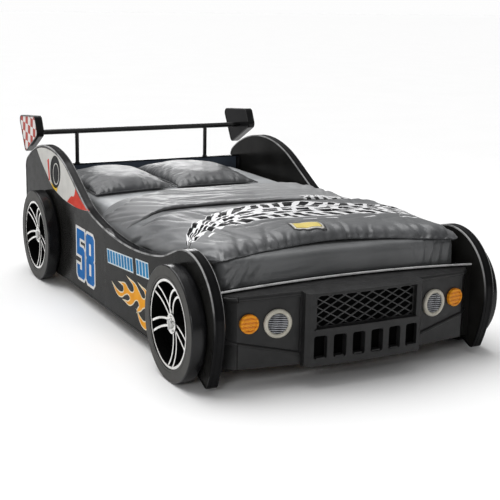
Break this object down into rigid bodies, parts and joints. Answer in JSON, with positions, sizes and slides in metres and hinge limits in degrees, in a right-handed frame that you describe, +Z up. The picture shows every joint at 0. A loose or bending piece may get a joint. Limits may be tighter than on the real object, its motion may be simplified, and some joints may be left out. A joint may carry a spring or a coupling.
{
  "type": "race car bed",
  "caption": "Children's bed in the shape of a racing car, with side panels, wheels, bumper, rear wing, slats and made-up bedding.",
  "frame": {"origin": "on the floor, under the middle of the bed's bounding box", "axes": "+Z up, -Y towards the bumper (foot end), +Y towards the headboard and wing, X across the bed"},
  "size_m": [1.27, 2.26, 0.7367],
  "materials": {
    "panel_lacquer": "gloss lacquer",
    "edge_trim": "gloss",
    "tyre": "gloss",
    "rim_silver": "silver paint",
    "black_plastic": "matt",
    "bumper_plastic": "satin",
    "lamp_silver": "silver paint",
    "lamp_lens": "gloss",
    "amber_plastic": "gloss",
    "black_tube": "gloss",
    "wing_plate": "gloss",
    "slat_wood": "bare",
    "leg_plastic": "matt",
    "steel": "zinc plated",
    "fitted_sheet": "satin weave",
    "duvet_satin": "satin weave",
    "pillow_satin": "satin weave",
    "white_print": "satin",
    "colour_print": "satin"
  },
  "bodies": {
    "bedframe": {"bumper": "bumper_plastic", "bumper_screws": "steel", "centre_beam": "slat_wood", "centre_legs": "leg_plastic", "corner_brackets": "steel", "corner_strip_left": "edge_trim", "corner_strip_right": "edge_trim", "edge_trim_left_front": "edge_trim", "edge_trim_left_rear": "edge_trim", "edge_trim_right_front": "edge_trim", "edge_trim_right_rear": "edge_trim", "front_board": "panel_lacquer", "front_board_trim": "edge_trim", "grille_backing": "black_plastic", "grille_mesh": "black_plastic", "headboard": "panel_lacquer", "headboard_trim": "edge_trim", "hub_caps": "rim_silver", "indicator_left": "amber_plastic", "indicator_right": "amber_plastic", "lamp_lens_left": "lamp_lens", "lamp_lens_right": "lamp_lens", "lamp_ring_left": "lamp_silver", "lamp_ring_right": "lamp_silver", "post_flanges": "black_tube", "rim_left_front": "rim_silver", "rim_left_rear": "rim_silver", "rim_right_front": "rim_silver", "rim_right_rear": "rim_silver", "seam_plate_left": "steel", "seam_plate_right": "steel", "seam_screws": "steel", "side_board_left_front": "panel_lacquer", "side_board_left_rear": "panel_lacquer", "side_board_right_front": "panel_lacquer", "side_board_right_rear": "panel_lacquer", "side_rail_left": "slat_wood", "side_rail_right": "slat_wood", "slats": "slat_wood", "tyre_left_front": "tyre", "tyre_left_rear": "tyre", "tyre_right_front": "tyre", "tyre_right_rear": "tyre", "wheel_backing_left_front": "black_plastic", "wheel_backing_left_rear": "black_plastic", "wheel_backing_right_front": "black_plastic", "wheel_backing_right_rear": "black_plastic", "wheel_bolts": "steel", "wing_bar": "black_tube", "wing_plate_left": "wing_plate", "wing_plate_right": "wing_plate", "wing_plate_trim_left": "edge_trim", "wing_plate_trim_right": "edge_trim", "wing_post_left": "black_tube", "wing_post_right": "black_tube"},
    "mattress": {"mattress": "fitted_sheet"},
    "duvet": {"duvet": "duvet_satin"},
    "pillow_left": {"pillow_left": "pillow_satin"},
    "pillow_right": {"pillow_right": "pillow_satin"}
  },
  "joints": [
    {"name": "mattress_lift", "type": "slide", "parent": "bedframe", "child": "mattress", "axis": [0, 0, 1], "range_m": [0, 0.6]},
    {"name": "duvet_lift", "type": "slide", "parent": "mattress", "child": "duvet", "axis": [0, 0, 1], "range_m": [0, 0.25]},
    {"name": "pillow_left_lift", "type": "slide", "parent": "mattress", "child": "pillow_left", "axis": [0, 0, 1], "range_m": [0, 0.25]},
    {"name": "pillow_right_lift", "type": "slide", "parent": "mattress", "child": "pillow_right", "axis": [0, 0, 1], "range_m": [0, 0.25]}
  ]
}
